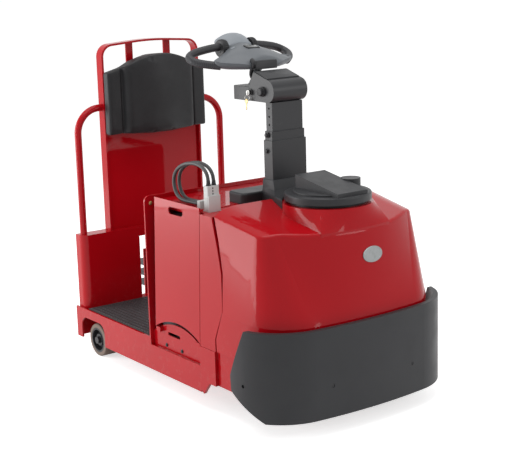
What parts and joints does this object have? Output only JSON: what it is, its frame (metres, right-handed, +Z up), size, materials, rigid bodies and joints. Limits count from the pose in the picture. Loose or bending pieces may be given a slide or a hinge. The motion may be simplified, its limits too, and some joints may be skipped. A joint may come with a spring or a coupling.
{
  "type": "stand-up electric tow tractor",
  "caption": "Red stand-up electric tow tractor with backrest, lift-out side gates, steering mast and handle, moulded hood, wrap-round bumper and rear pin coupler.",
  "frame": {"origin": "on the ground under the middle of the box around the whole tractor", "axes": "+X forward to the bumper, +Y to the driver's left, +Z up"},
  "size_m": [1.5999, 0.924, 1.3907],
  "materials": {
    "red_paint": "gloss enamel on steel and moulding",
    "charcoal_moulding": "satin dark grey",
    "black_paint": "satin black powder coat",
    "black_vinyl": "soft near-black vinyl",
    "black_rubber": "ribbed rubber mat",
    "battery_grey": "matt grey case",
    "tyre": "solid polyurethane, taupe to black",
    "dark_hub": "painted casting",
    "knob_black": "matt moulded knob",
    "handle_grey": "mid grey moulding",
    "light_grey": "light grey moulding",
    "grip_black": "soft black grip",
    "bare_steel": "bright steel",
    "lead_black": "black cable jacket"
  },
  "bodies": {
    "chassis": {"side_plates": "red_paint", "platform_floor": "red_paint", "platform_mat": "black_rubber", "rear_wall": "red_paint", "backrest_hoop": "red_paint", "backrest_panel": "red_paint", "backrest_pad": "black_vinyl", "grab_tubes": "red_paint", "bulkhead": "red_paint", "posts": "red_paint", "gate_brackets": "red_paint", "battery_tray": "red_paint", "battery": "battery_grey", "battery_cover": "red_paint", "deck_panel": "red_paint", "front_frame": "red_paint", "bumper": "charcoal_moulding", "bumper_spacers": "black_paint", "drive_deck": "black_paint", "hood": "red_paint", "rear_axle": "black_paint", "turntable_cover": "charcoal_moulding", "mast_sleeve": "charcoal_moulding", "mast_column": "black_paint", "mast_cowl": "charcoal_moulding", "mast_base": "charcoal_moulding", "steering_head": "charcoal_moulding", "head_knob": "knob_black", "key_switch": "knob_black", "tow_coupler": "black_paint", "connector_mounts": "black_paint", "battery_connector": "light_grey", "battery_leads": "lead_black"},
    "rear_wheel_right": {"rear_tyre_right": "tyre", "rear_hub_right": "dark_hub"},
    "rear_wheel_left": {"rear_tyre_left": "tyre", "rear_hub_left": "dark_hub"},
    "drive_unit": {"drive_yoke": "black_paint", "drive_motor": "battery_grey"},
    "drive_wheel": {"drive_tyre": "tyre", "drive_hub": "dark_hub"},
    "handle": {"handle_shield": "handle_grey", "handle_cap": "light_grey", "thumb_wheels": "knob_black", "handle_grip_right": "grip_black", "handle_grip_left": "grip_black"},
    "gate_right": {"side_gate_right": "red_paint"},
    "gate_left": {"side_gate_left": "red_paint"},
    "coupler_pin": {"coupler_pin": "bare_steel"}
  },
  "joints": [
    {"name": "rear_wheel_right_spin", "type": "hinge", "parent": "chassis", "child": "rear_wheel_right", "pos_m": [-0.569, -0.335, 0.071], "axis": [0, 1, 0], "continuous": true},
    {"name": "rear_wheel_left_spin", "type": "hinge", "parent": "chassis", "child": "rear_wheel_left", "pos_m": [-0.569, 0.335, 0.071], "axis": [0, 1, 0], "continuous": true},
    {"name": "drive_steer", "type": "hinge", "parent": "chassis", "child": "drive_unit", "pos_m": [0.547, 0, 0.3], "axis": [0, 0, 1], "range_deg": [-90, 90]},
    {"name": "drive_wheel_spin", "type": "hinge", "parent": "drive_unit", "child": "drive_wheel", "pos_m": [0.547, 0, 0.15], "axis": [0, 1, 0], "continuous": true},
    {"name": "handle_steer", "type": "hinge", "parent": "chassis", "child": "handle", "pos_m": [0.122, 0, 1.25], "axis": [0, 0, 1], "range_deg": [-60, 60]},
    {"name": "gate_right_lift", "type": "slide", "parent": "chassis", "child": "gate_right", "axis": [0, 0.0381, 0.9993], "range_m": [0, 0.25]},
    {"name": "gate_left_lift", "type": "slide", "parent": "chassis", "child": "gate_left", "axis": [0, -0.0381, 0.9993], "range_m": [0, 0.25]},
    {"name": "coupler_pin_lift", "type": "slide", "parent": "chassis", "child": "coupler_pin", "axis": [0, 0, 1], "range_m": [0, 0.12]}
  ],
  "couplings": [
    {"joint": "handle_steer", "follows": "drive_steer", "ratio": 0.66666}
  ]
}
